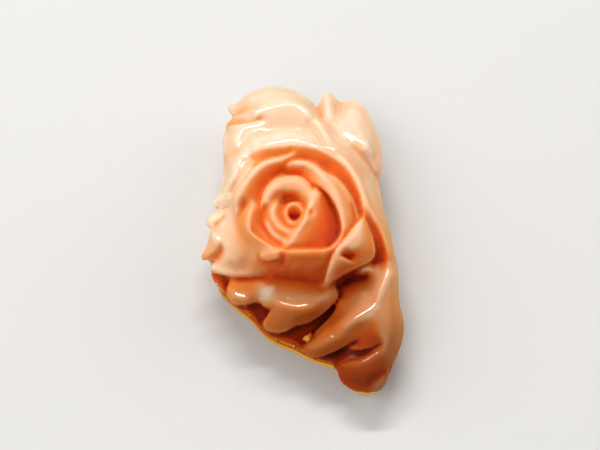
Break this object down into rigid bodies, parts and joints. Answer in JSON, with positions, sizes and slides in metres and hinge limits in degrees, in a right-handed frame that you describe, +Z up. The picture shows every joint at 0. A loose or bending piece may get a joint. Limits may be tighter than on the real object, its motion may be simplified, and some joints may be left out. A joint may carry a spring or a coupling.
{
  "type": "carved coral brooch",
  "caption": "Brooch carved from one piece of coral as a rose among curling leaves, held on a low openwork gold frame with a straight pin behind it for fastening to cloth.",
  "frame": {"origin": "middle of the brooch's outline, on the surface that it lies on", "axes": "+Z up, away from the wearer, with the brooch lying on its frame; +Y along its length towards the two-lobed end; +X across it"},
  "size_m": [0.027, 0.05, 0.0146],
  "materials": {
    "coral": "polished",
    "gold": "polished",
    "pin": "satin"
  },
  "bodies": {
    "root": {"coral_carving": "coral", "gallery_frame": "gold", "pin_clasp": "pin"}
  },
  "joints": []
}
